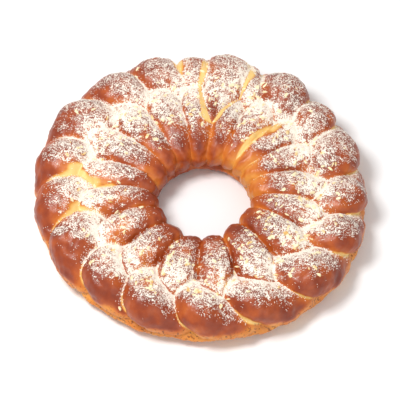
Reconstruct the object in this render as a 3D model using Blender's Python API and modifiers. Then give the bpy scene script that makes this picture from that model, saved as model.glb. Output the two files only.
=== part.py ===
"""A plaited sweet loaf, baked as a closed ring and scattered with chopped almonds.

Three ropes of dough are plaited round a ring, proved until they touch, glazed and baked, so the
loaf is one solid.  The plait is modelled the same way: three closed ropes are swept along their
woven paths, fused with the dough between and beneath them, and cut flat where they lay on the tray.
The larger almond pieces lie on the crust as solids of their own.

Units are metres, +Z is up, and the origin is the middle of the footprint on the tray.
A place round the ring is its turn: an angle measured clockwise from +Y, seen from above.
"""
import math
import random

import bmesh
import bpy
from mathutils import Matrix, Vector
from mathutils.bvhtree import BVHTree

# Driving sizes of the ring
RING_RADIUS_X = 0.0973       # from the ring's middle to the plait's centre line, along X
RING_RADIUS_Y = 0.1012       # the same along Y
CENTRE_HEIGHT = 0.0220       # height of the plait's centre line above the tray
FLATTEN = 0.80               # the dough's height over its width once it has spread on the tray
JOIN_SWELL = 0.09            # the ring is this much fatter at the join, and thinner opposite
SIDE_SWELL = 0.03            # and this much fatter at one side
SIDE_SWELL_TURN = math.radians(-50)
SKEW_SWELL = 0.025           # fatter at the back left and front right, thinner between
SKEW_RADIUS = 0.0012         # and pulled out of round the same way

# A hand-made plait is not even: these are the turns, in degrees, where each bulge begins along the
# outer edge and along the hole.  They bunch at the join and stretch on the opposite side.
ROPES = 3
OUTER_STARTS = (0, 25, 45, 61, 84, 102, 121, 145, 170, 191, 214, 234, 255, 275, 294, 316, 334, 350)
INNER_STARTS = (28, 44, 61, 78, 97, 113, 137, 160, 183, 204, 230, 251, 271, 289, 307, 327, 348, 368)
LOBES = len(OUTER_STARTS)
PITCH = 360.0 / LOBES

# The ropes
SWING = 0.0375               # how far a rope swings to each side
SWING_CENTRE = -0.0035       # the middle of that swing, outside the centre line
CROSSING_SHIFT = 0.0180      # the crossings lie this far outside the middle of the swing
MIDDLE_RADIUS = 0.0200       # half the width of a rope where it crosses the middle
OUTER_RADIUS = 0.0245        # the same at its outer bends, which have more room
INNER_RADIUS = 0.0165        # the same at its inner bends
LIFT = 0.0085                # how far a rope rises over and dips under its neighbours
INNER_RAISE = 0.0050         # the inner bends are squeezed, so they stand higher
DWELL = 0.17                 # in lobes: a rope dwells on top and hurries underneath
PHASE_START = math.tau / 12  # puts the outer bends in step with the list of bulges
LAG = 0.35                   # in lobes: a bulge is seen this long before the rope's bend
ROOM_SHARE = 0.35            # how much of the room between its neighbours a bend fills
WANDER = 0.0016              # how far a hand-rolled rope strays to the side
WANDER_WAVES = 7             # and how many times round the ring
UNEVEN = 0.055               # how much the thickness of a rope varies, as a share
UNEVEN_WAVES = 5
SLOW_WAVE = (0.6, 2.1)       # share, and how far each rope is behind the last, in radians
QUICK_WAVE = (0.5, 4.0)
QUICK_EXTRA = 3              # the quick wave has this many more crests than the slow one

# The last end of dough, laid over the join: from its thick end outside to its point by the hole
END_TURN = (10.5, 5.5)       # in degrees
END_ACROSS = (0.0350, -0.0260)
END_HEIGHT = (0.0080, 0.0225)
END_RADIUS = (0.0280, 0.0065)
END_TAPER = 1.1              # over 1, the end stays thick for longer before its point
END_STEPS = 20
PRESS = 0.0085               # it presses the ropes beneath it down this far
PRESS_TURN = math.radians(11)
PRESS_REACH = math.radians(13)

# The dough that fills the middle of the plait, and the foot that spreads on the tray
CORE_WIDTH = 0.040           # half widths; the flattening is height over width
CORE_FLATTEN = 0.30
FOOT_WIDTH = 0.0570
FOOT_HEIGHT = 0.0100         # height of the foot's own centre line above the tray
FOOT_FLATTEN = 0.24

# Meshing
PATH_POINTS = 324            # steps along each rope's path
SIDE_STEPS = 6               # smoothness of a rope's round section
CAP_SEGMENTS = 24            # smoothness of the ball that rounds off the closing end
CAP_RINGS = 16
MERGE = 1e-6                 # points closer than this are one
VOXEL = 0.0030               # step of the grid that fuses the ropes
SMOOTHING = 3                # rounds of smoothing that soften the creases
SMOOTHING_FACTOR = 0.5
KEPT_FACES = 0.19            # share of the fused faces that are kept
TRAY_CUTTER = 0.5            # edge of the block that cuts the base flat

# Finishes: colour, then roughness
CRUST_FINISH = ((0.42, 0.13, 0.045), 0.40)
ALMOND_FINISH = ((0.80, 0.62, 0.33), 0.55)

# Chopped almonds
CHIP_COUNT = 24
CHIP_SEED = 11
CHIP_LENGTH = (0.0042, 0.0062)
CHIP_WIDTH = (0.0024, 0.0036)
CHIP_THICKNESS = (0.0012, 0.0018)
CHIP_TAPER = 0.72            # the upper face is this much smaller than the lower one
CHIP_LEAN = 0.12             # and shifted by up to this share of the length
CHIP_STRAY = (0.1, 0.9)      # where in its share of the ring a piece may lie
CHIP_GAP = 0.0003            # clear space left between an almond and the crust
CHIP_SPREAD = 0.026          # how far from the centre line the almonds lie
LEAST_UPWARD = 0.80          # almonds stay only where the crust faces mostly up


def clear_scene():
    """Empty the scene, so that the loaf stands alone in it."""
    for old in list(bpy.data.objects):
        bpy.data.objects.remove(old, do_unlink=True)


def new_collection(name):
    """A collection in the scene under the given name."""
    collection = bpy.data.collections.new(name)
    bpy.context.scene.collection.children.link(collection)
    return collection


def plain_material(name, colour, roughness):
    """A Principled material of one colour."""
    material = bpy.data.materials.new(name)
    material.use_nodes = True
    shader = material.node_tree.nodes["Principled BSDF"]
    shader.inputs["Base Color"].default_value = (*colour, 1.0)
    shader.inputs["Roughness"].default_value = roughness
    shader.inputs["Metallic"].default_value = 0.0
    material.diffuse_color = (*colour, 1.0)
    return material


def drift(starts, first):
    """How far each bulge of a list begins from its even place, in degrees."""
    return [start - PITCH * (index + first) for index, start in enumerate(starts)]


OUTER_DRIFT = drift(OUTER_STARTS, 0.0)
INNER_DRIFT = drift(INNER_STARTS, 0.5)


def between(values, count):
    """Read a closed list between its entries, easing from each to the next."""
    before = math.floor(count)
    share = count - before
    share = share * share * (3.0 - 2.0 * share)
    start, end = values[before % LOBES], values[(before + 1) % LOBES]
    return start + (end - start) * share


def outer_turn(count):
    """Turn, in degrees, of a place on the outer edge, counted in bulges."""
    return PITCH * count + between(OUTER_DRIFT, count)


def inner_turn(count):
    """The same along the hole, whose bulges begin half a step later."""
    return PITCH * count + between(INNER_DRIFT, count - 0.5)


def swell(turn):
    """How fat the ring is at this turn, as a share of its mean width."""
    side = SIDE_SWELL * math.cos(turn - SIDE_SWELL_TURN)
    return 1.0 + JOIN_SWELL * math.cos(turn) + side - SKEW_SWELL * math.sin(2.0 * turn)


def ring_point(turn, across, height):
    """A point of the ring: across is its distance outside the centre line."""
    out = across - SKEW_RADIUS * math.sin(2.0 * turn)
    x = (RING_RADIUS_X + out) * math.sin(turn)
    y = (RING_RADIUS_Y + out) * math.cos(turn)
    return Vector((x, y, height))


def tube_mesh(points, radii, flatten, height):
    """A closed tube along the points, pressed to the given share of its height."""
    curve = bpy.data.curves.new("path", "CURVE")
    curve.dimensions = "3D"
    curve.bevel_depth = 1.0
    curve.bevel_resolution = SIDE_STEPS
    spline = curve.splines.new("POLY")
    spline.points.add(len(points) - 1)
    spline.use_cyclic_u = True
    for spot, point, radius in zip(spline.points, points, radii):
        spot.co = (*point, 1.0)
        spot.radius = radius
    tube = bpy.data.objects.new("path", curve)
    bpy.context.scene.collection.objects.link(tube)
    bpy.context.view_layer.update()
    evaluated = tube.evaluated_get(bpy.context.evaluated_depsgraph_get())
    mesh = bpy.data.meshes.new_from_object(evaluated)
    mesh.transform(Matrix.Translation((0.0, 0.0, height)) @ Matrix.Diagonal((1, 1, flatten, 1)))
    bpy.data.objects.remove(tube, do_unlink=True)
    return mesh


def bend_radius(side):
    """Half the width of a rope that is this far to one side, from -1 at the hole to 1 outside."""
    lean = (OUTER_RADIUS - INNER_RADIUS) / 2.0
    bulge = (OUTER_RADIUS + INNER_RADIUS) / 2.0 - MIDDLE_RADIUS
    return MIDDLE_RADIUS + lean * side + bulge * side**2


def stray(rope, count, waves):
    """A slow uneven wave along a rope, near -1 to 1, that closes after one round."""
    ride = math.tau * count / LOBES
    slow = SLOW_WAVE[0] * math.sin(waves * ride + SLOW_WAVE[1] * rope)
    return slow + QUICK_WAVE[0] * math.sin((waves + QUICK_EXTRA) * ride + QUICK_WAVE[1] * rope)


def rope_mesh(rope):
    """One rope of the plait: in three bulges it swings across the ring once, and rises and dips
    twice."""
    points = []
    radii = []
    for step in range(PATH_POINTS):
        count = LOBES * step / PATH_POINTS
        phase = math.tau * (rope - count) / ROPES + PHASE_START
        side = math.sin(phase)
        outwards = 0.5 + 0.5 * side
        place = count - LAG - DWELL * math.cos(2.0 * phase)
        turn = math.radians(outwards * outer_turn(place) + (1.0 - outwards) * inner_turn(place))
        outer_room = outer_turn(count + 0.5) - outer_turn(count - 0.5)
        inner_room = inner_turn(count + 0.5) - inner_turn(count - 0.5)
        room = (outwards * outer_room + (1.0 - outwards) * inner_room) / PITCH
        across = SWING_CENTRE + SWING * side + CROSSING_SHIFT * (1.0 - side**2)
        across = across * swell(turn) + WANDER * stray(rope, count, WANDER_WAVES)
        height = LIFT * math.sin(2.0 * phase) + INNER_RAISE * (1.0 - outwards)
        from_press = math.remainder(turn - PRESS_TURN, math.tau)
        height -= PRESS * outwards * math.exp(-(from_press / PRESS_REACH)**2)
        radius = bend_radius(side) * swell(turn) * room**ROOM_SHARE
        points.append(ring_point(turn, across, height))
        radii.append(radius * (1.0 + UNEVEN * stray(rope, count, UNEVEN_WAVES)))
    return tube_mesh(points, radii, FLATTEN, CENTRE_HEIGHT)


def mix(pair, share):
    """A number between the two of a pair."""
    return pair[0] + (pair[1] - pair[0]) * share


def end_mesh():
    """The end that closes the plait.  Its path goes out to the point and back, so it is closed."""
    out = [step / END_STEPS for step in range(END_STEPS + 1)]
    shares = out + out[-2:0:-1]
    points = [ring_point(math.radians(mix(END_TURN, share)), mix(END_ACROSS, share),
                         mix(END_HEIGHT, share)) for share in shares]
    radii = [mix(END_RADIUS, share**END_TAPER) for share in shares]
    return tube_mesh(points, radii, FLATTEN, CENTRE_HEIGHT)


def end_cap():
    """A ball that rounds off the thick start of that end."""
    form = bmesh.new()
    bmesh.ops.create_uvsphere(form, u_segments=CAP_SEGMENTS, v_segments=CAP_RINGS, radius=END_RADIUS[0])
    mesh = bpy.data.meshes.new("end_cap")
    form.to_mesh(mesh)
    form.free()
    place = ring_point(math.radians(END_TURN[0]), END_ACROSS[0], END_HEIGHT[0])
    press = Matrix.Translation((0.0, 0.0, CENTRE_HEIGHT)) @ Matrix.Diagonal((1, 1, FLATTEN, 1))
    mesh.transform(press @ Matrix.Translation(place))
    return mesh


def ring_mesh(half_width, flatten, height):
    """A plain ring of dough along the centre line."""
    turns = [math.tau * step / PATH_POINTS for step in range(PATH_POINTS)]
    points = [ring_point(turn, 0.0, 0.0) for turn in turns]
    radii = [half_width * swell(turn) for turn in turns]
    return tube_mesh(points, radii, flatten, height)


def joined(meshes, name):
    """All the meshes in one mesh."""
    form = bmesh.new()
    for mesh in meshes:
        form.from_mesh(mesh)
        bpy.data.meshes.remove(mesh)
    bmesh.ops.remove_doubles(form, verts=form.verts, dist=MERGE)
    result = bpy.data.meshes.new(name)
    form.to_mesh(result)
    form.free()
    return result


def make_tray_cutter(cutters):
    """A block whose top is the tray: what hangs below it is cut off the loaf."""
    form = bmesh.new()
    bmesh.ops.create_cube(form, size=TRAY_CUTTER)
    bmesh.ops.translate(form, verts=form.verts, vec=(0.0, 0.0, -TRAY_CUTTER / 2))
    mesh = bpy.data.meshes.new("tray_cutter")
    form.to_mesh(mesh)
    form.free()
    cutter = bpy.data.objects.new("tray_cutter", mesh)
    cutter.hide_render = True
    cutter.display_type = "WIRE"
    cutters.objects.link(cutter)
    return cutter


def make_loaf(parts, cutter):
    """The baked loaf: the ropes, the core and the foot fused into one solid with a flat base."""
    ropes = [rope_mesh(rope) for rope in range(ROPES)]
    core = ring_mesh(CORE_WIDTH, CORE_FLATTEN, CENTRE_HEIGHT)
    foot = ring_mesh(FOOT_WIDTH, FOOT_FLATTEN, FOOT_HEIGHT)
    dough = ropes + [core, foot, end_mesh(), end_cap()]
    loaf = bpy.data.objects.new("loaf", joined(dough, "loaf"))
    parts.objects.link(loaf)

    fuse = loaf.modifiers.new("fuse_ropes", "REMESH")
    fuse.mode = "VOXEL"
    fuse.voxel_size = VOXEL
    fuse.use_smooth_shade = True

    soften = loaf.modifiers.new("soften_creases", "SMOOTH")
    soften.factor = SMOOTHING_FACTOR
    soften.iterations = SMOOTHING

    lighten = loaf.modifiers.new("lighten", "DECIMATE")
    lighten.ratio = KEPT_FACES

    base = loaf.modifiers.new("flat_base", "BOOLEAN")
    base.operation = "DIFFERENCE"
    base.solver = "EXACT"
    base.object = cutter
    loaf.data.materials.append(plain_material("glazed_crust", *CRUST_FINISH))
    return loaf


def evaluated_copy(thing, name):
    """The object's mesh with its modifiers applied."""
    bpy.context.view_layer.update()
    evaluated = thing.evaluated_get(bpy.context.evaluated_depsgraph_get())
    mesh = bpy.data.meshes.new_from_object(evaluated)
    mesh.name = name
    return mesh


def settle(loaf):
    """Apply the modifiers and put the middle of the footprint's box on the origin."""
    mesh = evaluated_copy(loaf, "loaf")
    xs = [vertex.co.x for vertex in mesh.vertices]
    ys = [vertex.co.y for vertex in mesh.vertices]
    middle = Vector(((min(xs) + max(xs)) / 2, (min(ys) + max(ys)) / 2, 0.0))
    mesh.transform(Matrix.Translation(-middle))
    mesh.shade_smooth()
    loaf.modifiers.clear()
    loaf.data = mesh
    return middle


def chip_mesh(name, length, width, thickness, lean):
    """A chopped almond piece: a slab with a smaller, shifted upper face."""
    form = bmesh.new()
    bmesh.ops.create_cube(form, size=1.0)
    for vertex in form.verts:
        is_upper = vertex.co.z > 0.0
        share = CHIP_TAPER if is_upper else 1.0
        shift = lean if is_upper else 0.0
        vertex.co.x = (vertex.co.x * share + shift) * length
        vertex.co.y = vertex.co.y * share * width
        vertex.co.z = vertex.co.z * thickness
    mesh = bpy.data.meshes.new(name)
    form.to_mesh(mesh)
    form.free()
    return mesh


def lies_clear(corners, crust):
    """True where no corner is nearer the crust than the gap, or inside it."""
    for corner in corners:
        spot, normal, _, distance = crust.find_nearest(corner)
        if distance < CHIP_GAP or (corner - spot).dot(normal) < 0.0:
            return False
    return True


def make_almonds(parts, loaf, middle):
    """The larger almond pieces, spread evenly round the ring and scattered across it."""
    chance = random.Random(CHIP_SEED)
    crust = BVHTree.FromObject(loaf, bpy.context.evaluated_depsgraph_get())
    almond = plain_material("blanched_almond", *ALMOND_FINISH)
    above = 2.0 * RING_RADIUS_X
    count = 0
    while count < CHIP_COUNT:
        turn = math.tau * (count + chance.uniform(*CHIP_STRAY)) / CHIP_COUNT
        across = chance.uniform(-CHIP_SPREAD, CHIP_SPREAD)
        start = ring_point(turn, across, above) - middle
        spot, normal, _, _ = crust.ray_cast(start, Vector((0.0, 0.0, -1.0)))
        if spot is None or normal.z < LEAST_UPWARD:
            continue
        count += 1
        name = f"almond_chip_{count:02d}"
        thickness = chance.uniform(*CHIP_THICKNESS)
        mesh = chip_mesh(name, chance.uniform(*CHIP_LENGTH), chance.uniform(*CHIP_WIDTH),
                         thickness, chance.uniform(-CHIP_LEAN, CHIP_LEAN))
        spin = Matrix.Rotation(chance.uniform(0.0, math.tau), 4, "Z")
        tilt = normal.to_track_quat("Z", "Y").to_matrix().to_4x4()
        height = thickness / 2 + CHIP_GAP
        place = Matrix.Translation(spot + normal * height) @ tilt @ spin
        while not lies_clear([place @ vertex.co for vertex in mesh.vertices], crust):
            height += CHIP_GAP / 2
            place = Matrix.Translation(spot + normal * height) @ tilt @ spin
        chip = bpy.data.objects.new(name, mesh)
        chip.matrix_world = place
        chip.data.materials.append(almond)
        parts.objects.link(chip)


def main():
    """Build the loaf and its almonds."""
    clear_scene()
    parts = new_collection("ring_shaped_braided_loaf")
    cutters = new_collection("cutters")
    cutter = make_tray_cutter(cutters)
    loaf = make_loaf(parts, cutter)
    middle = settle(loaf)
    make_almonds(parts, loaf, middle)
    bpy.context.view_layer.update()


main()
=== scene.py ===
# %% [markdown]
# A plaited sweet loaf, baked as a ring.
#
# The real loaf starts as three ropes of egg dough.  They are plaited round a ring, brushed with
# egg, scattered with chopped almonds, baked until the ropes have grown into each other, and dusted
# with sugar.  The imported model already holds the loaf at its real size.  It is the fixed frame, and
# everything below is a finer surface laid in the same place.

# %% Load the frame
import math

import bpy
import numpy as np
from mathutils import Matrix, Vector


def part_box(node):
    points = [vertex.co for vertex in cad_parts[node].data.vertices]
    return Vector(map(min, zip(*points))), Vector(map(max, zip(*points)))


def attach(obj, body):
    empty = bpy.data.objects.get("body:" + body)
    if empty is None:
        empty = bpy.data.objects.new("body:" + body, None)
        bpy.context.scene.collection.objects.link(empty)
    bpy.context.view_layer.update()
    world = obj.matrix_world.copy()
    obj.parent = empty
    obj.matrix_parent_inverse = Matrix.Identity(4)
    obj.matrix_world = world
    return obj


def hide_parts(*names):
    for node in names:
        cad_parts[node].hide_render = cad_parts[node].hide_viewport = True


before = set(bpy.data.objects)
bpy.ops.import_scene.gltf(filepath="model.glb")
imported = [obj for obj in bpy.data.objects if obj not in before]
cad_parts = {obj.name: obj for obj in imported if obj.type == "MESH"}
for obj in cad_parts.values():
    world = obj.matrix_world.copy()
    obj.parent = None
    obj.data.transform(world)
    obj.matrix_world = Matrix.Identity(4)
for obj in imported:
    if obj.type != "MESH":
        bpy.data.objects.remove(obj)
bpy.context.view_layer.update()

# %% [markdown]
# A place on the loaf needs two numbers.  The turn goes round the ring: it is an angle measured
# clockwise from +Y, seen from above.  The section angle goes round the cut face of the plait: 0
# points away from the hole, a quarter turn points up, a half turn points into the hole.
#
# A hand-made plait is never even.  The lists below say, in degrees of turn, where each bulge begins
# along the outer edge and along the hole.  The ropes bunch up at the join, near turn 0, and lie in
# long strides opposite to it.

# %% Sizes of the ring and its ropes, in metres
RING_RADIUS_X = 0.0973
RING_RADIUS_Y = 0.1012
CENTRE_HEIGHT = 0.0220
FLATTEN = 0.80
JOIN_SWELL = 0.09             # shares of the mean width: how much fatter at the join,
SIDE_SWELL = 0.03             # and at the side
SIDE_SWELL_TURN = math.radians(-50)
SKEW_SWELL = 0.025            # fatter at the back left and front right, thinner between
SKEW_RADIUS = 0.0012          # and pulled out of round the same way
ROPES = 3
OUTER_STARTS = (0, 25, 45, 61, 84, 102, 121, 145, 170, 191, 214, 234, 255, 275, 294, 316, 334, 350)
INNER_STARTS = (28, 44, 61, 78, 97, 113, 137, 160, 183, 204, 230, 251, 271, 289, 307, 327, 348, 368)
LOBES = len(OUTER_STARTS)
PITCH = 360.0 / LOBES


def swell(turn):
    """Share of the mean width: one plus a cosine that peaks at the join, one that peaks at the
    side, and a sine of the double turn for the skew."""
    side = SIDE_SWELL * np.cos(turn - SIDE_SWELL_TURN)
    return 1.0 + JOIN_SWELL * np.cos(turn) + side - SKEW_SWELL * np.sin(2.0 * turn)


def between(values, count):
    """Read a closed list between its entries, easing from each to the next with an S-curve."""
    values = np.asarray(values, dtype=float)
    before = np.floor(count).astype(int)
    share = count - before
    share = share * share * (3.0 - 2.0 * share)
    start, end = values[before % LOBES], values[(before + 1) % LOBES]
    return start + (end - start) * share


outer_drift = np.array(OUTER_STARTS) - PITCH * np.arange(LOBES)
inner_drift = np.array(INNER_STARTS) - PITCH * (np.arange(LOBES) + 0.5)


def outer_turn(count):
    """Turn, in degrees, of a place on the outer edge: even steps plus the drift of its list."""
    return PITCH * count + between(outer_drift, count)


def inner_turn(count):
    """The same along the hole, whose bulges begin half a step later."""
    return PITCH * count + between(inner_drift, count - 0.5)


print("lobes", LOBES, "largest drift in degrees", np.abs(outer_drift).max())

# %% [markdown]
# Each rope swings across the ring once in three bulges, while it rises and dips twice.  That is
# what makes it pass over one neighbour and under the other, and it gives the row of pointed
# crossings that all face the same way round the ring.  The outer bends have more room than the
# inner ones, so the rope is fatter there.

# %% The path of one rope
SWING = 0.0375                # how far a rope swings to each side
SWING_CENTRE = -0.0035        # the middle of that swing, outside the centre line
MIDDLE_RADIUS = 0.0200        # half the width of a rope where it crosses the middle
OUTER_RADIUS = 0.0245
INNER_RADIUS = 0.0165
LIFT = 0.0085
INNER_RAISE = 0.0050          # the inner bends are squeezed, so they stand higher
DWELL = 0.17                  # in lobes
LAG = 0.35                    # a rope is seen this many lobes before it reaches the edge
CROSSING_SHIFT = 0.0180       # the crossings lie this far outside the middle of the swing
WANDER = 0.0016               # how far a hand-rolled rope strays to the side
UNEVEN = 0.055                # how much its thickness varies, as a share
ROOM_SHARE = 0.35             # how much of the room between its neighbours a bend fills
PRESS = 0.0085                # the end laid over the join presses the ropes down this far
PRESS_TURN = math.radians(11)
PRESS_REACH = math.radians(13)
BALLS_PER_LOBE = 28
PHASE_START = math.tau / 12


def stray(rope, count, step):
    """Slow uneven wave along a rope, near -1 to 1: two sines that close after one round."""
    ride = math.tau * count / LOBES
    slow = 0.6 * np.sin((5 + step) * ride + 2.1 * rope)
    return slow + 0.5 * np.sin((8 + step) * ride + 4.0 * rope)


def rope_balls(rope):
    """Balls along a rope: across = swing * sin(phase), height = lift * sin(2 * phase), and a
    radius that eases from the inner to the outer one.  The rope hurries under its neighbours and
    dwells on top, so its steps round the ring are uneven.  Heights are before the flattening."""
    count = np.arange(LOBES * BALLS_PER_LOBE) / BALLS_PER_LOBE
    phase = math.tau * (rope - count) / ROPES + PHASE_START
    side = np.sin(phase)
    outwards = 0.5 + 0.5 * side
    place = count - LAG - DWELL * np.cos(2.0 * phase)
    turn = np.radians(outwards * outer_turn(place) + (1.0 - outwards) * inner_turn(place))
    room = outer_turn(count + 0.5) - outer_turn(count - 0.5)
    room = outwards * room + (1.0 - outwards) * (inner_turn(count + 0.5) - inner_turn(count - 0.5))
    mean_bend = (OUTER_RADIUS + INNER_RADIUS) / 2.0
    radius = MIDDLE_RADIUS + (OUTER_RADIUS - INNER_RADIUS) / 2.0 * side
    radius = radius + (mean_bend - MIDDLE_RADIUS) * side**2
    radius = radius * swell(turn) * (room / PITCH)**ROOM_SHARE
    radius = radius * (1.0 + UNEVEN * stray(rope, count, 0))
    across = swell(turn) * (SWING_CENTRE + SWING * side + CROSSING_SHIFT * (1.0 - side**2))
    across = across + WANDER * stray(rope, count, 2)
    height = LIFT * np.sin(2.0 * phase) + INNER_RAISE * (1.0 - outwards)
    from_press = (turn - PRESS_TURN + math.pi) % math.tau - math.pi
    height = height - PRESS * outwards * np.exp(-(from_press / PRESS_REACH)**2)
    return turn, across, height, radius


# %% [markdown]
# Where the plait closes, the last end of dough is laid over the join like a wedge: thick at the
# outer edge and drawn to a point towards the hole.

# %% The end that closes the ring
END_TURN = (10.5, 5.5)        # in degrees, at its thick end and at its point
END_ACROSS = (0.0350, -0.0260)
END_HEIGHT = (0.0080, 0.0225)
END_RADIUS = (0.0280, 0.0065)
END_TAPER = 1.1
END_BALLS = 60


def end_balls():
    """Balls along the closing end: every number goes in a straight line to its value at the point,
    and the radius shrinks as the share to the power END_TAPER."""
    share = np.linspace(0.0, 1.0, END_BALLS)
    turn = np.radians(END_TURN[0] + (END_TURN[1] - END_TURN[0]) * share)
    across = END_ACROSS[0] + (END_ACROSS[1] - END_ACROSS[0]) * share
    height = END_HEIGHT[0] + (END_HEIGHT[1] - END_HEIGHT[0]) * share
    radius = END_RADIUS[0] + (END_RADIUS[1] - END_RADIUS[0]) * share**END_TAPER
    return turn, across, height, radius


def ring_place(turn, across):
    """X and Y of a point that lies this far outside the plait's centre line."""
    out = across - SKEW_RADIUS * np.sin(2.0 * turn)
    return (RING_RADIUS_X + out) * np.sin(turn), (RING_RADIUS_Y + out) * np.cos(turn)


# %% [markdown]
# The skin of the loaf could be fused from three tubes, but a remesh loses the crisp creases.  Here
# the skin is a function instead.  Imagine balls rolled along each rope.  From a spine inside the
# plait a ray goes out at each section angle, and the skin is where the ray leaves the last ball.
# Between two ropes a soft maximum rounds the bottom of the crease, as risen dough does, and a
# groove is pressed along it, because the crust splits and sinks there.

# %% Where a ray leaves the ropes
SPINE = 0.030                 # half the width of the spine that the rays start from
REACH = 1.5                   # how many lobes away a ball can still touch the ray
CORE_WIDTH = 0.040
CORE_FLATTEN = 0.30
FOOT_WIDTH = 0.0570
FOOT_HEIGHT = 0.0100
FOOT_FLATTEN = 0.24
HOLE_TUCK = 0.10              # core and foot are this share narrower on the hole side
CREASE = 0.0008               # softness of the crease's bottom
GROOVE = 0.0032
GROOVE_WIDTH = 0.0034


def ray_exit(start, way, centre, radius):
    """Distance at which a ray leaves a ball: along + sqrt(radius^2 - miss^2), or far behind."""
    to_centre = [c - s for c, s in zip(centre, start)]
    along = sum(a * b for a, b in zip(to_centre, way))
    miss = sum(a * a for a in to_centre) - along**2
    inside = radius**2 - miss
    return np.where(inside > 0.0, along + np.sqrt(np.maximum(inside, 0.0)), -1.0)


def rays(turn, section):
    """Start and direction of the rays, in a space where height is divided by FLATTEN."""
    across = SPINE * swell(turn) * np.cos(section)
    x, y = ring_place(turn, across)
    level, rise = np.cos(section), np.sin(section) / FLATTEN
    length = np.sqrt(level**2 + rise**2)
    level, rise = level / length, rise / length
    way = (level * np.sin(turn), level * np.cos(turn), rise)
    return (x, y, np.zeros_like(x)), way, across, level, rise


def rope_exit(rope, turn_column, start, way):
    """The furthest exit from the balls of one rope that are near this turn."""
    ball_turn, across, height, radius = rope_balls(rope)
    x, y = ring_place(ball_turn, across)
    balls = np.arange(-LOBES, 2 * LOBES * BALLS_PER_LOBE)
    place = balls / BALLS_PER_LOBE - LAG
    middle_turn = np.radians(outer_turn(place) + inner_turn(place)) / 2.0
    nearest = np.interp(turn_column, middle_turn, balls).round().astype(int)
    furthest = np.full(start[0].shape, -1.0)
    reach = int(REACH * BALLS_PER_LOBE)
    for step in range(-reach, reach + 1):
        pick = (nearest + step) % ball_turn.size
        out = ray_exit(start, way, (x[pick], y[pick], height[pick]), radius[pick])
        furthest = np.maximum(furthest, out)
    return furthest


def end_exit(start, way):
    """The furthest exit from the balls of the closing end; rays far from the join miss them all."""
    ball_turn, across, height, radius = end_balls()
    x, y = ring_place(ball_turn, across)
    furthest = np.full(start[0].shape, -1.0)
    for centre_x, centre_y, centre_z, ball_radius in zip(x, y, height, radius):
        out = ray_exit(start, way, (centre_x, centre_y, centre_z), ball_radius)
        furthest = np.maximum(furthest, out)
    near_join = start[1] > 0.0
    return np.where(near_join, furthest, -1.0)


def ring_exit(turn, across, level, rise, half_width, flatten, drop):
    """Exit from a plain ring of dough whose section is an ellipse, `drop` below the spine.  It is
    narrower on the hole side by HOLE_TUCK times the square of how far the ray points that way."""
    wide = half_width * swell(turn) * (1.0 - HOLE_TUCK * np.clip(-level, 0.0, 1.0)**2)
    tall = wide * flatten / FLATTEN
    above = drop / FLATTEN
    a = (level / wide)**2 + (rise / tall)**2
    b = across * level / wide**2 + above * rise / tall**2
    c = (across / wide)**2 + (above / tall)**2 - 1.0
    inside = b * b - a * c
    return np.where(inside > 0.0, (-b + np.sqrt(np.maximum(inside, 0.0))) / a, -1.0)


def skin(turn, section):
    """The skin's points, the lead of the outermost rope over the next, and the depth of the
    closing end below the skin where something else covers it."""
    start, way, across, level, rise = rays(turn, section)
    exits = [rope_exit(rope, turn[:, :1], start, way) for rope in range(ROPES)]
    exits.append(end_exit(start, way))
    exits.append(ring_exit(turn, across, level, rise, CORE_WIDTH, CORE_FLATTEN, 0.0))
    exits.append(ring_exit(turn, across, level, rise, FOOT_WIDTH, FOOT_FLATTEN,
                           CENTRE_HEIGHT - FOOT_HEIGHT))
    exits = np.stack(exits)
    top = exits.max(axis=0)
    out = top + CREASE * np.log(np.exp((exits - top) / CREASE).sum(axis=0))
    ordered = np.sort(exits, axis=0)
    lead = ordered[-1] - ordered[-2]
    out = out - GROOVE * np.exp(-lead / GROOVE_WIDTH)
    end_depth = np.where(exits.argmax(axis=0) == ROPES, 1.0, top - exits[ROPES])
    x = start[0] + out * way[0]
    y = start[1] + out * way[1]
    z = CENTRE_HEIGHT + FLATTEN * out * way[2]
    return np.stack([x, y, z], axis=-1), lead, end_depth


# %% [markdown]
# The grid has more rows over the crown than under the base, because nobody looks for creases
# underneath.  The base is flat where the dough lay on the tray.

# %% The grid of the crust
TURNS = 560
ROWS = 176
CROWN_SHARE = 0.30            # how strongly the rows crowd towards the crown

turn_line = np.arange(TURNS) * math.tau / TURNS
row_line = np.arange(ROWS) * math.tau / ROWS
section_line = row_line + CROWN_SHARE * np.cos(row_line)
turn_grid, section_grid = np.meshgrid(turn_line, section_line, indexing="ij")
crust_points, seam_lead, end_depth = skin(turn_grid, section_grid)


def grid_normals(points):
    """Unit normals of a grid that is closed both ways: the cross product of its two steps."""
    round_ring = np.roll(points, -1, axis=0) - np.roll(points, 1, axis=0)
    round_section = np.roll(points, -1, axis=1) - np.roll(points, 1, axis=1)
    normals = np.cross(round_section, round_ring)
    length = np.linalg.norm(normals, axis=-1, keepdims=True)
    return normals / np.maximum(length, 1e-12)


def ripples(points, size, seed, count=24):
    """Smooth noise near -1 to 1: plane waves of about this wavelength in scattered directions."""
    draw = np.random.default_rng(seed)
    ways = draw.normal(size=(count, 3))
    ways /= np.linalg.norm(ways, axis=1, keepdims=True)
    ways *= math.tau / (size * draw.uniform(0.7, 1.6, (count, 1)))
    phases = draw.uniform(0.0, math.tau, count)
    total = np.zeros(points.shape[:-1])
    for way, phase in zip(ways, phases):
        total += np.sin(points @ way + phase)
    return total / math.sqrt(count)


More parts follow.
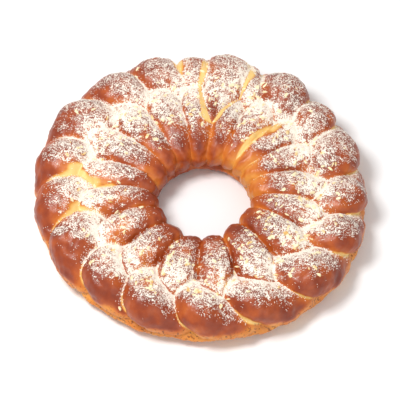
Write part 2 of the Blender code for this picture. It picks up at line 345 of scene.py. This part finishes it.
SWELLING = 0.0006             # height of the slow bumps that gas leaves under the crust
WRINKLE = 0.00036             # height of the small ones
SWELLING_SIZE, WRINKLE_SIZE = 0.019, 0.0065
normals = grid_normals(crust_points)
bumps = SWELLING * ripples(crust_points, SWELLING_SIZE, 5)
bumps = bumps + WRINKLE * ripples(crust_points, WRINKLE_SIZE, 6)
crust_points = crust_points + normals * bumps[..., None]
crust_points[..., 2] = np.maximum(crust_points[..., 2], 0.0)
low, high = crust_points.min(axis=(0, 1)), crust_points.max(axis=(0, 1))
crust_points[..., :2] -= (low[:2] + high[:2]) / 2.0
ring_middle = -(low[:2] + high[:2]) / 2.0
normals = grid_normals(crust_points)
print("crust size in mm", (high - low) * 1000.0, "ring middle", ring_middle)

# %% [markdown]
# A mesh object is made from whole arrays.  Numbers that the materials need later, such as how near
# a point is to a seam, are stored on the vertices as attributes.

# %% Mesh helpers


def mesh_object(name, points, faces, attributes=None):
    """A smooth-shaded object from vertex and face arrays, with float attributes on its vertices."""
    mesh = bpy.data.meshes.new(name)
    mesh.from_pydata(points.reshape(-1, 3).tolist(), [], faces.tolist())
    for label, values in (attributes or {}).items():
        layer = mesh.attributes.new(label, "FLOAT", "POINT")
        layer.data.foreach_set("value", np.ascontiguousarray(values, dtype=np.float32).ravel())
    mesh.polygons.foreach_set("use_smooth", np.ones(len(mesh.polygons), dtype=bool))
    mesh.update()
    piece = bpy.data.objects.new(name, mesh)
    bpy.context.scene.collection.objects.link(piece)
    return piece


def closed_grid_faces(rings, rows):
    """Quads of a grid that closes on itself both ways, wound to face outwards."""
    ring, row = np.meshgrid(np.arange(rings), np.arange(rows), indexing="ij")
    here = ring * rows + row
    up = ring * rows + (row + 1) % rows
    next_ring = ((ring + 1) % rings) * rows + row
    both = ((ring + 1) % rings) * rows + (row + 1) % rows
    return np.stack([here, up, both, next_ring], axis=-1).reshape(-1, 4)


def smooth_step(values, start, end):
    """0 below start, 1 above end, and an S-curve between."""
    share = np.clip((values - start) / (end - start), 0.0, 1.0)
    return share * share * (3.0 - 2.0 * share)


# %% [markdown]
# What the oven does follows the shape.  The crowns of the ropes stand proud and brown first.  The
# foot touches the tray and keeps a golden band.  Dough that tore open beside a seam was never
# glazed, so it stays the colour of custard.  The tears are few and each has its own place, so they
# are listed; everything else is worked out from the shape.

# %% Where the crust browned and where it tore
HALF_WIDTH = 0.0575           # from the plait's centre line to its edge
# Each tear: its turn in degrees, its place across as a share of the half width, and its strength.
TEARS = ((42, -0.45, 1.5), (47, -0.15, 1.5), (352, 0.70, 1.0), (258, 0.45, 1.0), (279, 0.40, 1.2),
         (274, -0.15, 1.2), (256, -0.20, 1.0), (236, -0.20, 1.3), (214, -0.10, 0.8),
         (170, 0.10, 0.5), (128, 0.10, 0.5), (64, -0.70, 0.5), (82, -0.60, 0.4), (300, 0.30, 0.4))
TEAR_TURN = 4.5               # how far a tear reaches round the ring, in degrees
TEAR_ACROSS = 0.28            # and across it, as a share of the half width
SEAM_WIDTH = 0.0040           # the bright line in a seam fades over this lead, in metres
WIDE_SEAM_WIDTH = 0.0110      # and the torn strip beside it over this one

from_middle = crust_points[..., :2] - ring_middle
around = np.arctan2(from_middle[..., 0], from_middle[..., 1])
centre_line = np.stack(ring_place(around, 0.0), axis=-1)
across_share = np.linalg.norm(from_middle, axis=-1) - np.linalg.norm(centre_line, axis=-1)
across_share = across_share / (HALF_WIDTH * swell(around))


def bump_at(values, centre, width):
    """A bell: exp(-((value - centre) / width)^2)."""
    return np.exp(-((values - centre) / width)**2)


def degrees_from(turn_degrees):
    """How far each point is from a turn, in degrees, going the short way round."""
    return (np.degrees(around) - turn_degrees + 180.0) % 360.0 - 180.0


torn = np.zeros(around.shape)
for tear_turn, tear_across, strength in TEARS:
    bell = bump_at(degrees_from(tear_turn), 0.0, TEAR_TURN)
    torn += strength * bell * bump_at(across_share, tear_across, TEAR_ACROSS)

height = crust_points[..., 2]
facing_up = normals[..., 2]
patches = ripples(crust_points, 0.022, 8)
mottle = ripples(crust_points, 0.009, 9)
seam = np.exp(-seam_lead / SEAM_WIDTH)
wide_seam = np.exp(-seam_lead / WIDE_SEAM_WIDTH)
crown = 1.0 - np.exp(-seam_lead / 0.0080)
hole_side = smooth_step(-across_share, 0.45, 0.85)
# A bell round the ring, centred on turn 75: on the hole side there the browning is lowered and the
# seams brightened, so that stretch is paler.
paler_at_turn_75 = bump_at(degrees_from(75), 0.0, 42.0)
foot_top = 0.0010 + 0.0200 * smooth_step(across_share, 0.0, 0.5)
foot_band = 1.0 - smooth_step(height + 0.0010 * patches - foot_top, -0.0025, 0.0030)
end_point = bump_at(degrees_from(6.5), 0.0, 4.5) * bump_at(across_share, -0.22, 0.22)
bake = 0.42 + 0.42 * crown + 0.10 * patches + 0.05 * mottle
bake = bake - 0.45 * hole_side * paler_at_turn_75 - 0.30 * torn + 0.15 * end_point
bake = np.clip(bake * (1.0 - 0.72 * foot_band), 0.0, 1.0)
beside_end = np.exp(-end_depth / 0.0090) * smooth_step(across_share, -0.55, -0.35)
beside_end = beside_end * smooth_step(facing_up, 0.15, 0.55) * (1.0 - foot_band)
beside_end = beside_end * smooth_step(-across_share, -0.85, -0.60)
bright_seam = 0.18 + 0.34 * smooth_step(across_share, 0.45, 0.80)
bright_seam = bright_seam + 0.26 * smooth_step(-across_share, 0.40, 0.75) * paler_at_turn_75
pale = wide_seam**1.2 * torn + bright_seam * seam + 1.1 * beside_end
flank_seam = np.exp(-seam_lead / 0.0070) * smooth_step(across_share, 0.50, 0.85)
pale = pale + 0.26 * flank_seam * (1.0 - foot_band)
pale = smooth_step(pale + 0.05 * mottle * wide_seam, 0.22, 0.62)
print("mean browning", bake.mean(), "share torn", (pale > 0.5).mean())

# %% [markdown]
# Sugar falls straight down through a sieve.  It stays where the crust faces up, piles up in the
# seams along the middle of the plait, and slides off the flanks, the torn stretches and the wall of
# the hole.

# %% Where the sugar lies
SIEVE_WAY = np.array([0.14, 0.30, 0.94])
sieve = 0.08 * patches + 0.06 * mottle
middle_band = bump_at(across_share, 0.08, 0.50)
lies = smooth_step(normals @ SIEVE_WAY + sieve + 0.12 * middle_band, 0.42, 0.99)
valley = np.exp(-seam_lead / 0.0070) * smooth_step(facing_up, 0.20, 0.65) * middle_band
powder_line = np.exp(-seam_lead / 0.0016) * smooth_step(facing_up, 0.10, 0.50)
powder_line = powder_line * bump_at(across_share, 0.50, 0.28)
sugar = lies * (0.53 + 0.08 * middle_band) + 0.60 * valley + 0.60 * powder_line
sugar = sugar * (1.0 - 0.85 * smooth_step(torn * wide_seam + beside_end, 0.25, 0.6))
sugar = sugar * (1.0 - 0.6 * end_point)
sugar = sugar * (1.0 - foot_band)
sugar = np.clip(sugar * smooth_step(across_share, -0.95, -0.55), 0.0, 1.0)
print("share of the crust under sugar", sugar.mean())

loaf_crust = mesh_object(
    "loaf_crust", crust_points, closed_grid_faces(TURNS, ROWS),
    {"bake": bake, "pale": pale, "sugar": sugar, "foot": foot_band})
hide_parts("loaf")
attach(loaf_crust, "root")

# %% [markdown]
# The thickest sugar is not a colour but grains.  Each is an octahedron, eight faces, because there
# are tens of thousands of them.  They are scattered over the cells of the crust's grid with a
# chance that grows with a cell's area and its sugar.

# %% Scatter places over the crust


def scatter(count, weight, seed):
    """Places on the crust: a cell is drawn with chance = area * weight, then a spot inside it."""
    draw = np.random.default_rng(seed)
    next_ring = np.roll(crust_points, -1, axis=0)
    next_row = np.roll(crust_points, -1, axis=1)
    area = np.linalg.norm(np.cross(next_ring - crust_points, next_row - crust_points), axis=-1)
    chance = (area * weight).ravel()
    cells = draw.choice(chance.size, count, p=chance / chance.sum())
    ring, row = cells // ROWS, cells % ROWS
    along, aside = draw.random((2, count, 1))

    def blend(grid):
        near = grid[ring, row] * (1 - along) + grid[(ring + 1) % TURNS, row] * along
        up = (row + 1) % ROWS
        far = grid[ring, up] * (1 - along) + grid[(ring + 1) % TURNS, up] * along
        return near * (1 - aside) + far * aside

    facing = blend(normals)
    return blend(crust_points), facing / np.linalg.norm(facing, axis=1, keepdims=True)


def tangents(facing, spin):
    """Two directions at right angles to each normal, turned by the spin angle."""
    helper = np.where(np.abs(facing[:, :1]) < 0.8, [[1.0, 0.0, 0.0]], [[0.0, 1.0, 0.0]])
    first = np.cross(facing, helper)
    first /= np.linalg.norm(first, axis=1, keepdims=True)
    second = np.cross(facing, first)
    turn_cos, turn_sin = np.cos(spin)[:, None], np.sin(spin)[:, None]
    return first * turn_cos + second * turn_sin, second * turn_cos - first * turn_sin


# %% The sugar grains
GRAINS = 23000
GRAIN_RADIUS = (0.00026, 0.00056)

draw = np.random.default_rng(21)
spots, facing = scatter(GRAINS, sugar**1.5, 22)
first, second = tangents(facing, draw.uniform(0.0, math.tau, GRAINS))
radii = draw.uniform(*GRAIN_RADIUS, (GRAINS, 3))
octahedron = np.array([[1, 0, 0], [0, 1, 0], [-1, 0, 0], [0, -1, 0], [0, 0, 1], [0, 0, -1]], float)
sides = np.array([[0, 1, 4], [1, 2, 4], [2, 3, 4], [3, 0, 4],
                  [1, 0, 5], [2, 1, 5], [3, 2, 5], [0, 3, 5]])
axes = np.stack([first, second, facing], axis=1) * radii[..., None]
grain_points = spots[:, None] + facing[:, None] * 0.4 * radii[:, None, 2:] + octahedron @ axes
grain_faces = sides[None] + 6 * np.arange(GRAINS)[:, None, None]
sugar_grains = mesh_object("sugar_grains", grain_points, grain_faces.reshape(-1, 3))
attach(sugar_grains, "root")
print("sugar grains", GRAINS, "triangles", grain_faces.size // 3)

# %% [markdown]
# The almonds were blanched and chopped, so each piece is a flat chip with sharp, uneven edges.  A
# chip is an outline of seven corners, drawn twice: once where it lies on the crust and once,
# smaller, on top.  The largest lie where the frame has its almond solids.

# %% The almond pieces
CORNERS = 7
SLIVERS = 420
SLIVER_LENGTH = (0.0030, 0.0076)
CHIP_LENGTH = (0.0044, 0.0062)

chip_names = sorted(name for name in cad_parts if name.startswith("almond_chip"))
chip_middles = np.array([np.mean(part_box(name), axis=0) for name in chip_names])
flat_points, flat_normals = crust_points.reshape(-1, 3), normals.reshape(-1, 3)
nearest = [np.argmin(((flat_points - middle)**2).sum(axis=1)) for middle in chip_middles]
almond_band = bump_at(across_share, 0.00, 0.50) * smooth_step(facing_up, 0.60, 0.95)
almond_band = almond_band * (0.4 + 0.6 * bump_at(degrees_from(125), 0.0, 80.0))
spots, facing = scatter(SLIVERS, almond_band, 31)
spots = np.concatenate([flat_points[nearest], spots])
facing = np.concatenate([flat_normals[nearest], facing])
pieces = len(spots)
draw = np.random.default_rng(32)
length = np.concatenate([draw.uniform(*CHIP_LENGTH, len(nearest)),
                         draw.uniform(*SLIVER_LENGTH, SLIVERS)])
width = length * draw.uniform(0.25, 0.60, pieces)
thickness = np.minimum(0.0016, length * draw.uniform(0.15, 0.32, pieces))
facing = facing + draw.normal(0.0, 0.22, facing.shape)
facing /= np.linalg.norm(facing, axis=1, keepdims=True)
first, second = tangents(facing, draw.uniform(0.0, math.tau, pieces))


def chip_points():
    """Corners at (length * cos, width * sin) / 2 of uneven angles, below and above, and a middle
    for each face."""
    angle = (np.arange(CORNERS) + draw.uniform(-0.3, 0.3, (pieces, CORNERS))) * math.tau / CORNERS
    size = draw.uniform(0.75, 1.1, (pieces, CORNERS))
    flat_x = 0.5 * length[:, None] * size * np.cos(angle)
    flat_y = 0.5 * width[:, None] * size * np.sin(angle)
    low_z = np.full_like(flat_x, -0.35) * thickness[:, None]
    top_z = draw.uniform(0.50, 0.75, flat_x.shape) * thickness[:, None]
    shrink = draw.uniform(0.62, 0.9, flat_x.shape)
    low_ring = np.stack([flat_x, flat_y, low_z], axis=-1)
    top_ring = np.stack([flat_x * shrink, flat_y * shrink, top_z], axis=-1)
    low_middle = low_ring.mean(axis=1, keepdims=True)
    top_middle = top_ring.mean(axis=1, keepdims=True)
    local = np.concatenate([low_ring, top_ring, low_middle, top_middle], axis=1)
    return spots[:, None] + local @ np.stack([first, second, facing], axis=1)


corner = np.arange(CORNERS)
after = (corner + 1) % CORNERS
chip_sides = np.concatenate([
    np.stack([corner, after, after + CORNERS], axis=1),
    np.stack([corner, after + CORNERS, corner + CORNERS], axis=1),
    np.stack([after, corner, np.full(CORNERS, 2 * CORNERS)], axis=1),
    np.stack([corner + CORNERS, after + CORNERS, np.full(CORNERS, 2 * CORNERS + 1)], axis=1)])
almond_faces = chip_sides[None] + (2 * CORNERS + 2) * np.arange(pieces)[:, None, None]
almond_pieces = mesh_object("almond_pieces", chip_points(), almond_faces.reshape(-1, 3))
almond_pieces.data.shade_flat()
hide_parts(*chip_names)
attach(almond_pieces, "root")
print("almond pieces", pieces, "triangles", almond_faces.size // 3)

# %% [markdown]
# Colours are written as sRGB hex values, the way a colour picker shows them, and turned linear
# once.

# %% Material helpers


def linear(hex_colour):
    """sRGB hex to linear RGBA: (c / 12.92) for dark values, else ((c + 0.055) / 1.055) ^ 2.4."""
    values = [int(hex_colour[i:i + 2], 16) / 255.0 for i in (1, 3, 5)]
    flat = [v / 12.92 if v <= 0.04045 else ((v + 0.055) / 1.055)**2.4 for v in values]
    return (*flat, 1.0)


def new_material(name):
    """A material, its node tree and its shader."""
    material = bpy.data.materials.new(name)
    material.use_nodes = True
    return material, material.node_tree, material.node_tree.nodes["Principled BSDF"]


def node(tree, kind, settings=None, links=None):
    """Add a node, set its properties or sockets by name, and link other nodes' sockets into it."""
    made = tree.nodes.new(kind)
    for key, value in (settings or {}).items():
        if isinstance(key, str) and hasattr(made, key):
            setattr(made, key, value)
        else:
            made.inputs[key].default_value = value
    for key, source in (links or {}).items():
        tree.links.new(source, made.inputs[key])
    return made


# %% [markdown]
# The crust is enriched dough brushed with beaten egg.  Baked egg is a thin satin varnish: it is
# smooth, mid-brown to red-brown, and shows soft highlights.  Under it the dough goes from golden to
# brown with the heat it took, so one ramp holds that whole range and the browning picks from it.

# %% Egg-glazed crust: colours by browning
crust, tree, shader = new_material("egg_glazed_crust")
place = node(tree, "ShaderNodeTexCoord").outputs["Object"]
bake_in, pale_in, sugar_in, foot_in = (
    node(tree, "ShaderNodeAttribute", {"attribute_name": label}).outputs["Fac"]
    for label in ("bake", "pale", "sugar", "foot"))
BROWNING = ((0.0, "#e39a44"), (0.30, "#cd722a"), (0.58, "#ac4f1f"), (0.80, "#903b1a"),
            (1.0, "#7b2f17"))
TEAR_COLOURS = ("#c8722e", "#e0a049", "#f2cb80")

patchy = node(tree, "ShaderNodeTexNoise", {"Scale": 1 / 0.018, "Detail": 5.0, "Roughness": 0.6},
              {"Vector": place})
patch_step = node(tree, "ShaderNodeMapRange",
                  {"From Min": 0.3, "From Max": 0.7, "To Min": -0.16, "To Max": 0.16},
                  {"Value": patchy.outputs["Fac"]})
heat = node(tree, "ShaderNodeMath", {"operation": "ADD"}, {0: bake_in, 1: patch_step.outputs[0]})
browned = node(tree, "ShaderNodeValToRGB", None, {"Fac": heat.outputs[0]})
ramp = browned.color_ramp
for position, colour in BROWNING[1:-1]:
    ramp.elements.new(position)
for element, (position, colour) in zip(ramp.elements, BROWNING):
    element.position = position
    element.color = linear(colour)
torn_edge = node(tree, "ShaderNodeTexNoise", {"Scale": 1 / 0.004, "Detail": 3.0}, {"Vector": place})
torn_in = node(tree, "ShaderNodeMath", {"operation": "MULTIPLY_ADD", 1: 0.35, 2: -0.17},
               {0: torn_edge.outputs["Fac"]})
torn_sum = node(tree, "ShaderNodeMath", {"operation": "ADD", "use_clamp": True},
                {0: pale_in, 1: torn_in.outputs[0]})
torn_share = node(tree, "ShaderNodeMath", {"operation": "MULTIPLY"},
                  {0: torn_sum.outputs[0], 1: pale_in})
tear_colour = node(tree, "ShaderNodeValToRGB", None, {"Fac": torn_share.outputs[0]})
tear_colour.color_ramp.elements.new(0.45)
for element, colour in zip(tear_colour.color_ramp.elements, TEAR_COLOURS):
    element.color = linear(colour)
tear_step = node(tree, "ShaderNodeMapRange", {"From Min": 0.05, "From Max": 0.45},
                 {"Value": torn_share.outputs[0]})
with_tears = node(tree, "ShaderNodeMix", {"data_type": "RGBA"},
                  {0: tear_step.outputs[0], 6: browned.outputs["Color"],
                   7: tear_colour.outputs["Color"]})
print("browning colours", len(ramp.elements))

# %% [markdown]
# The tray scorches the foot in specks of two or three millimetres.  The sugar is drawn as grains of
# about a millimetre: real icing sugar is finer, but it clings together in grains of that size.

# %% Scorched specks and powdered sugar
SPECK = 0.0024
SUGAR_GRAIN = 0.0013
SUGAR_COLOUR = "#fff6e8"
SCORCH_COLOUR = "#6e3216"

speck = node(tree, "ShaderNodeTexNoise", {"Scale": 1 / SPECK, "Detail": 2.0}, {"Vector": place})
speck_step = node(tree, "ShaderNodeMapRange", {"From Min": 0.56, "From Max": 0.64, "To Max": 0.75},
                  {"Value": speck.outputs["Fac"]})
speck_share = node(tree, "ShaderNodeMath", {"operation": "MULTIPLY"},
                   {0: speck_step.outputs[0], 1: foot_in})
scorched = node(tree, "ShaderNodeMix", {"data_type": "RGBA", 7: linear(SCORCH_COLOUR)},
                {0: speck_share.outputs[0], 6: with_tears.outputs[2]})
grains = node(tree, "ShaderNodeTexNoise",
              {"Scale": 1 / SUGAR_GRAIN, "Detail": 2.0, "Roughness": 0.7}, {"Vector": place})
clumps = node(tree, "ShaderNodeTexNoise", {"Scale": 1 / 0.005, "Detail": 2.0}, {"Vector": place})
grain_level = node(tree, "ShaderNodeMath", {"operation": "MULTIPLY_ADD", 1: 0.35},
                   {0: clumps.outputs["Fac"], 2: grains.outputs["Fac"]})
bar = node(tree, "ShaderNodeMapRange", {"To Min": 0.97, "To Max": 0.49}, {"Value": sugar_in})
over_bar = node(tree, "ShaderNodeMath", {"operation": "SUBTRACT"},
                {0: grain_level.outputs[0], 1: bar.outputs[0]})
sugar_share = node(tree, "ShaderNodeMapRange",
                   {"From Min": -0.005, "From Max": 0.025, "To Max": 0.97},
                   {"Value": over_bar.outputs[0]})
film = node(tree, "ShaderNodeMapRange", {"From Min": 0.30, "From Max": 0.90, "To Max": 0.07},
            {"Value": sugar_in})
filmed = node(tree, "ShaderNodeMix", {"data_type": "RGBA", 7: linear(SUGAR_COLOUR)},
              {0: film.outputs[0], 6: scorched.outputs[2]})
dusted = node(tree, "ShaderNodeMix", {"data_type": "RGBA", 7: linear(SUGAR_COLOUR)},
              {0: sugar_share.outputs[0], 6: filmed.outputs[2]})
tree.links.new(dusted.outputs[2], shader.inputs["Base Color"])

# %% Gloss of the egg, and what the fingers would feel
gloss = node(tree, "ShaderNodeMapRange", {"To Min": 0.36, "To Max": 0.92},
             {"Value": sugar_share.outputs[0]})
tree.links.new(gloss.outputs[0], shader.inputs["Roughness"])
pores = node(tree, "ShaderNodeTexNoise", {"Scale": 1 / 0.0030, "Detail": 5.0}, {"Vector": place})
pore_bump = node(tree, "ShaderNodeBump", {"Strength": 0.35, "Distance": 0.0010},
                 {"Height": pores.outputs["Fac"]})
sugar_bump = node(tree, "ShaderNodeBump", {"Strength": 0.5, "Distance": 0.0008},
                  {"Height": sugar_share.outputs[0], "Normal": pore_bump.outputs[0]})
tree.links.new(sugar_bump.outputs[0], shader.inputs["Normal"])
shader.inputs["IOR"].default_value = 1.46
loaf_crust.data.materials.append(crust)

# %% Icing sugar: dry white powder, very rough
sugar_powder, tree, shader = new_material("icing_sugar")
place = node(tree, "ShaderNodeTexCoord").outputs["Object"]
tint = node(tree, "ShaderNodeTexNoise", {"Scale": 1 / 0.010, "Detail": 2.0}, {"Vector": place})
white = node(tree, "ShaderNodeMix",
             {"data_type": "RGBA", 6: linear("#fff4e2"), 7: linear("#fffcf5")},
             {0: tint.outputs["Fac"]})
tree.links.new(white.outputs[2], shader.inputs["Base Color"])
shader.inputs["Roughness"].default_value = 0.85
crumb = node(tree, "ShaderNodeTexNoise", {"Scale": 1 / 0.0003}, {"Vector": place})
crumb_bump = node(tree, "ShaderNodeBump", {"Strength": 0.3, "Distance": 0.0001},
                  {"Height": crumb.outputs["Fac"]})
tree.links.new(crumb_bump.outputs[0], shader.inputs["Normal"])
sugar_grains.data.materials.append(sugar_powder)

# %% Chopped blanched almond: cream, with patches of toasted gold
almond, tree, shader = new_material("chopped_almond")
place = node(tree, "ShaderNodeTexCoord").outputs["Object"]
toast = node(tree, "ShaderNodeTexNoise", {"Scale": 1 / 0.005, "Detail": 3.0}, {"Vector": place})
toasted = node(tree, "ShaderNodeValToRGB", None, {"Fac": toast.outputs["Fac"]})
toasted.color_ramp.elements[0].position = 0.32
toasted.color_ramp.elements[0].color = linear("#e6b565")
toasted.color_ramp.elements[1].position = 0.52
toasted.color_ramp.elements[1].color = linear("#fbefc6")
tree.links.new(toasted.outputs["Color"], shader.inputs["Base Color"])
shader.inputs["Roughness"].default_value = 0.5
fibre = node(tree, "ShaderNodeTexNoise", {"Scale": 1 / 0.0008, "Detail": 2.0}, {"Vector": place})
fibre_bump = node(tree, "ShaderNodeBump", {"Strength": 0.3, "Distance": 0.0002},
                  {"Height": fibre.outputs["Fac"]})
tree.links.new(fibre_bump.outputs[0], shader.inputs["Normal"])
almond_pieces.data.materials.append(almond)

# %% Floor, light and camera
floor_material, tree, shader = new_material("pale_card")
shader.inputs["Base Color"].default_value = (0.95, 0.95, 0.95, 1.0)
shader.inputs["Roughness"].default_value = 0.9
floor = mesh_object("floor", np.array([[-3, -3, 0], [3, -3, 0], [3, 3, 0], [-3, 3, 0]], float),
                    np.array([[0, 1, 2, 3]]))
floor.data.materials.append(floor_material)

world = bpy.data.worlds.new("studio")
world.use_nodes = True
world.node_tree.nodes["Background"].inputs["Color"].default_value = (1.0, 1.0, 1.0, 1.0)
world.node_tree.nodes["Background"].inputs["Strength"].default_value = 0.56
bpy.context.scene.world = world
bpy.context.scene.view_settings.view_transform = "Standard"


def softbox(name, place, size, power):
    """A square area light that points at the loaf."""
    light = bpy.data.lights.new(name, "AREA")
    light.size = size
    light.energy = power
    box = bpy.data.objects.new(name, light)
    box.location = place
    box.rotation_euler = (Vector((0, 0, 0.02)) - Vector(place)).to_track_quat("-Z", "Y").to_euler()
    bpy.context.scene.collection.objects.link(box)


softbox("key", (-0.50, -0.15, 1.20), 0.45, 13.0)
softbox("fill", (0.5, -1.3, 0.7), 1.0, 4.0)

ELEVATION = math.radians(54.0)
DISTANCE = 2.38
VIEW_WIDTH = 0.372
AIM = Vector((-0.0005, -0.0071, 0.020))
camera_data = bpy.data.cameras.new("camera")
camera_data.lens = camera_data.sensor_width * DISTANCE / VIEW_WIDTH
camera = bpy.data.objects.new("camera", camera_data)
away = Vector((0.0, -math.cos(ELEVATION), math.sin(ELEVATION)))
camera.location = AIM + away * DISTANCE
camera.rotation_euler = (-away).to_track_quat("-Z", "Y").to_euler()
bpy.context.scene.collection.objects.link(camera)
bpy.context.scene.camera = camera
